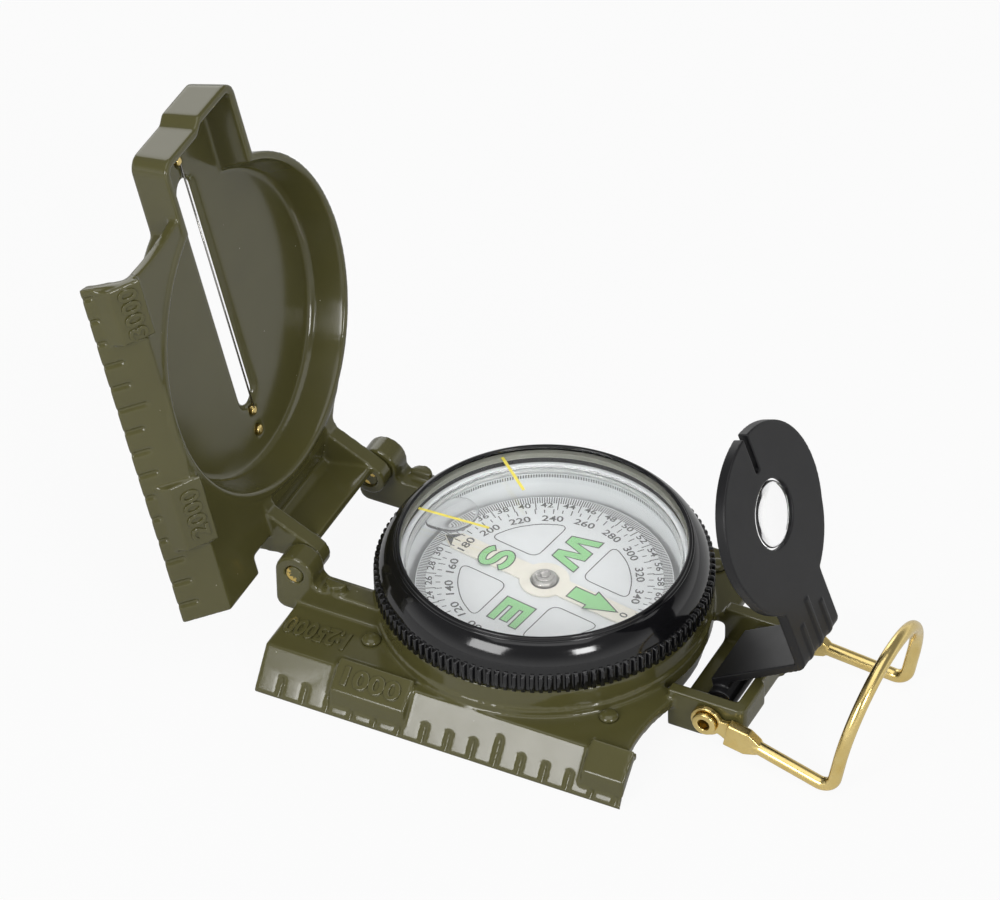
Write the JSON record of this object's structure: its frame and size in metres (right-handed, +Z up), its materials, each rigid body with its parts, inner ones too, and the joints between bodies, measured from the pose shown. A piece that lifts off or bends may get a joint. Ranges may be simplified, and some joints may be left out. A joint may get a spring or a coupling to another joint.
{
  "type": "folding lensatic compass",
  "caption": "Folding lensatic compass with hinged sighting cover, ruler edges, turning bezel, floating card, folding lens eyepiece and wire thumb loop.",
  "frame": {"origin": "on the dial axis, in the flat underside of the base", "axes": "+Z up along the dial axis, +Y the sighting direction from eyepiece to cover, +X to the right, straight edge on the -X side"},
  "size_m": [0.0567, 0.1211, 0.0801],
  "materials": {
    "olive_paint": "satin",
    "black_plastic": "gloss",
    "brass": "bright",
    "steel": "bright",
    "clear_plastic": "clear",
    "white_plastic": "matte",
    "grey_plastic": "satin",
    "cream_paint": "matte",
    "rubber": "matte"
  },
  "bodies": {
    "base": {"base_body": "olive_paint", "deck_rivet_1": "olive_paint", "deck_rivet_2": "olive_paint", "deck_rivet_3": "olive_paint", "deck_rivet_4": "olive_paint", "capsule_bowl": "white_plastic", "capsule_window": "clear_plastic", "capsule_gasket": "rubber", "pivot_post": "steel", "eyepiece_axle": "steel", "loop_eyelet_right": "brass", "loop_eyelet_left": "brass"},
    "hinge_pins": {"hinge_pin_right": "brass", "hinge_pin_left": "brass"},
    "cover": {"cover_shell": "olive_paint", "sight_wire": "steel", "wire_anchor_upper": "brass", "wire_anchor_lower": "brass", "sight_dot": "brass"},
    "bezel": {"bezel_ring": "black_plastic", "bezel_crystal": "clear_plastic", "bezel_retainer": "grey_plastic"},
    "card": {"compass_card": "white_plastic", "magnet_needle": "cream_paint", "jewel_cup": "steel"},
    "eyepiece": {"eyepiece_frame": "black_plastic", "eyepiece_lens": "clear_plastic"},
    "loop": {"thumb_loop": "brass"}
  },
  "joints": [
    {"name": "cover_close", "type": "hinge", "parent": "base", "child": "hinge_pins", "pos_m": [0, 0.0343, 0.01165], "axis": [1, 0, 0], "range_deg": [0, 103.8]},
    {"name": "cover_flat", "type": "hinge", "parent": "hinge_pins", "child": "cover", "pos_m": [0, 0.0343, 0.01165], "axis": [1, 0, 0], "range_deg": [-76.2, 0]},
    {"name": "eyepiece_fold", "type": "hinge", "parent": "base", "child": "eyepiece", "pos_m": [0, -0.0325, 0.00495], "axis": [-1, 0, 0], "range_deg": [0, 70]},
    {"name": "bezel_turn", "type": "hinge", "parent": "base", "child": "bezel", "pos_m": [0, 0, 0.0127], "axis": [0, 0, 1], "continuous": true},
    {"name": "card_turn", "type": "hinge", "parent": "base", "child": "card", "pos_m": [0, 0, 0.0106], "axis": [0, 0, 1], "continuous": true},
    {"name": "loop_swing", "type": "hinge", "parent": "base", "child": "loop", "pos_m": [0, -0.0325, 0.00495], "axis": [1, 0, 0], "range_deg": [-38, 135]}
  ],
  "couplings": [
    {"joint": "eyepiece_fold", "follows": "cover_close", "ratio": 0.67437}
  ]
}
